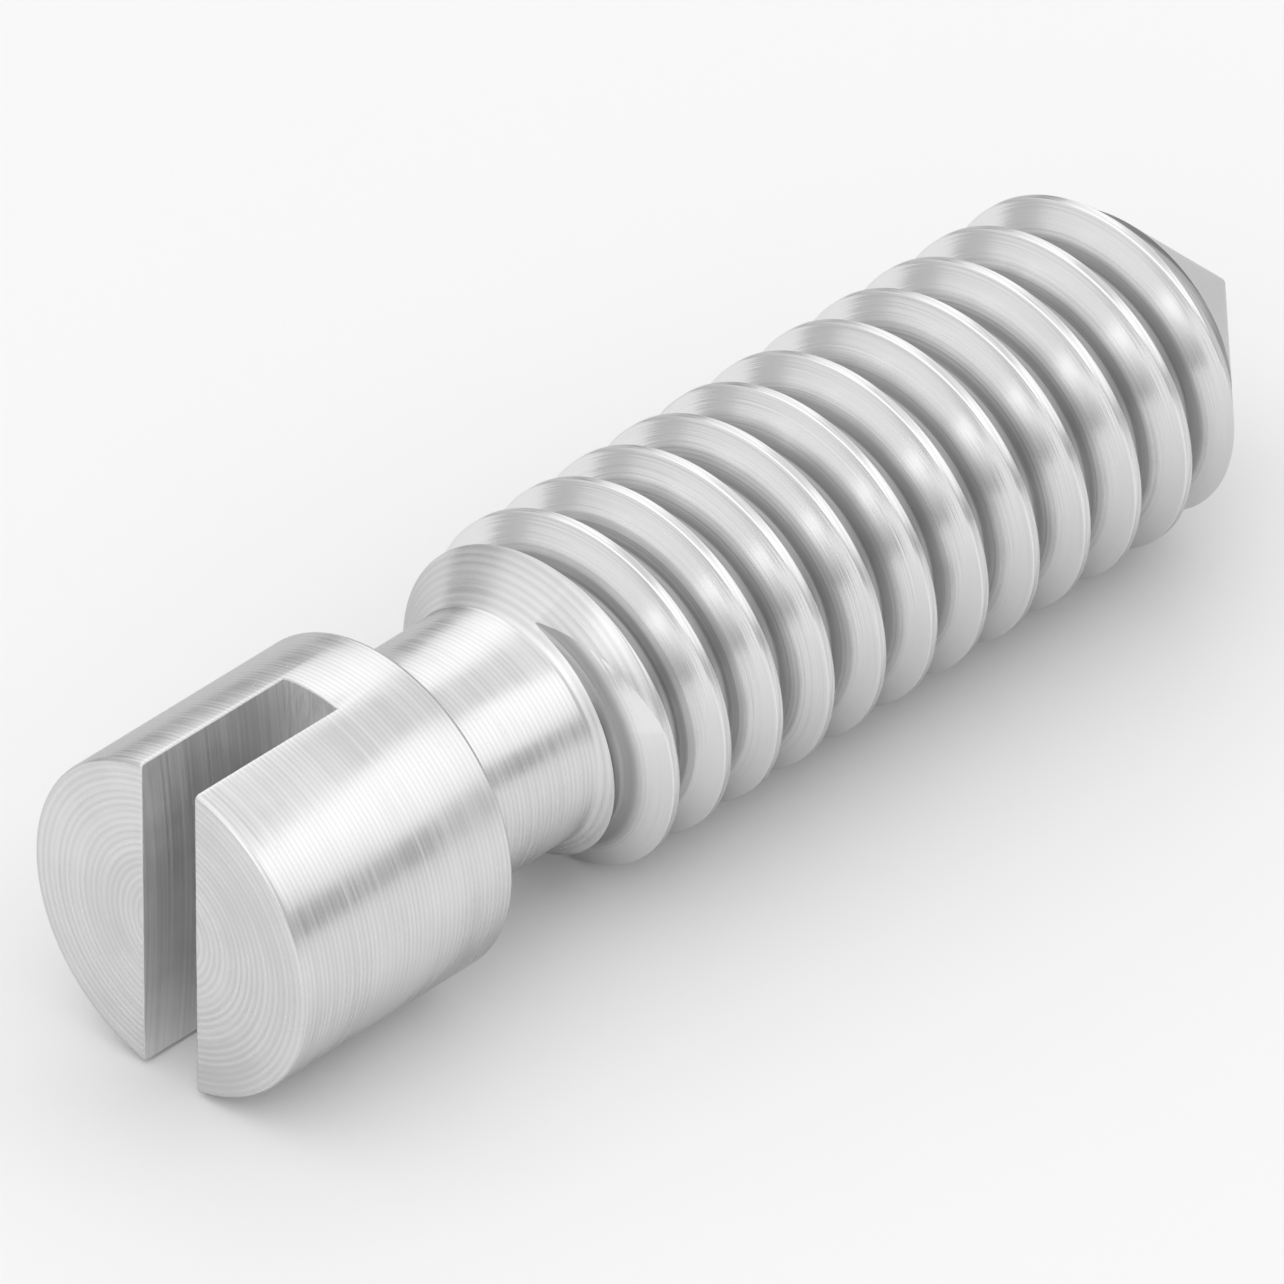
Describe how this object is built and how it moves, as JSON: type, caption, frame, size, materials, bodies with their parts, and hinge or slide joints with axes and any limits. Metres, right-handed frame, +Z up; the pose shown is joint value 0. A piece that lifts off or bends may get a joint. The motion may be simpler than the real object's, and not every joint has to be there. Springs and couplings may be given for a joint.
{
  "type": "threaded stud",
  "caption": "Slotted threaded stud turned in one piece: plain cylindrical slotted head, turned-down neck, right-hand thread and a sharp cone point.",
  "frame": {"origin": "on the stud's axis, where the full thread begins after the start chamfer", "axes": "+X along the axis towards the cone point, so the slotted head is at -X; +Z up as it lies, with the slot standing upright in the XZ plane"},
  "size_m": [0.026, 0.0064, 0.0064],
  "materials": {
    "turned_steel": "plain light grey steel, as turned: fine lathe marks round it, straight saw marks in the slot"
  },
  "bodies": {
    "root": {"threaded_stud": "turned_steel"}
  },
  "joints": []
}
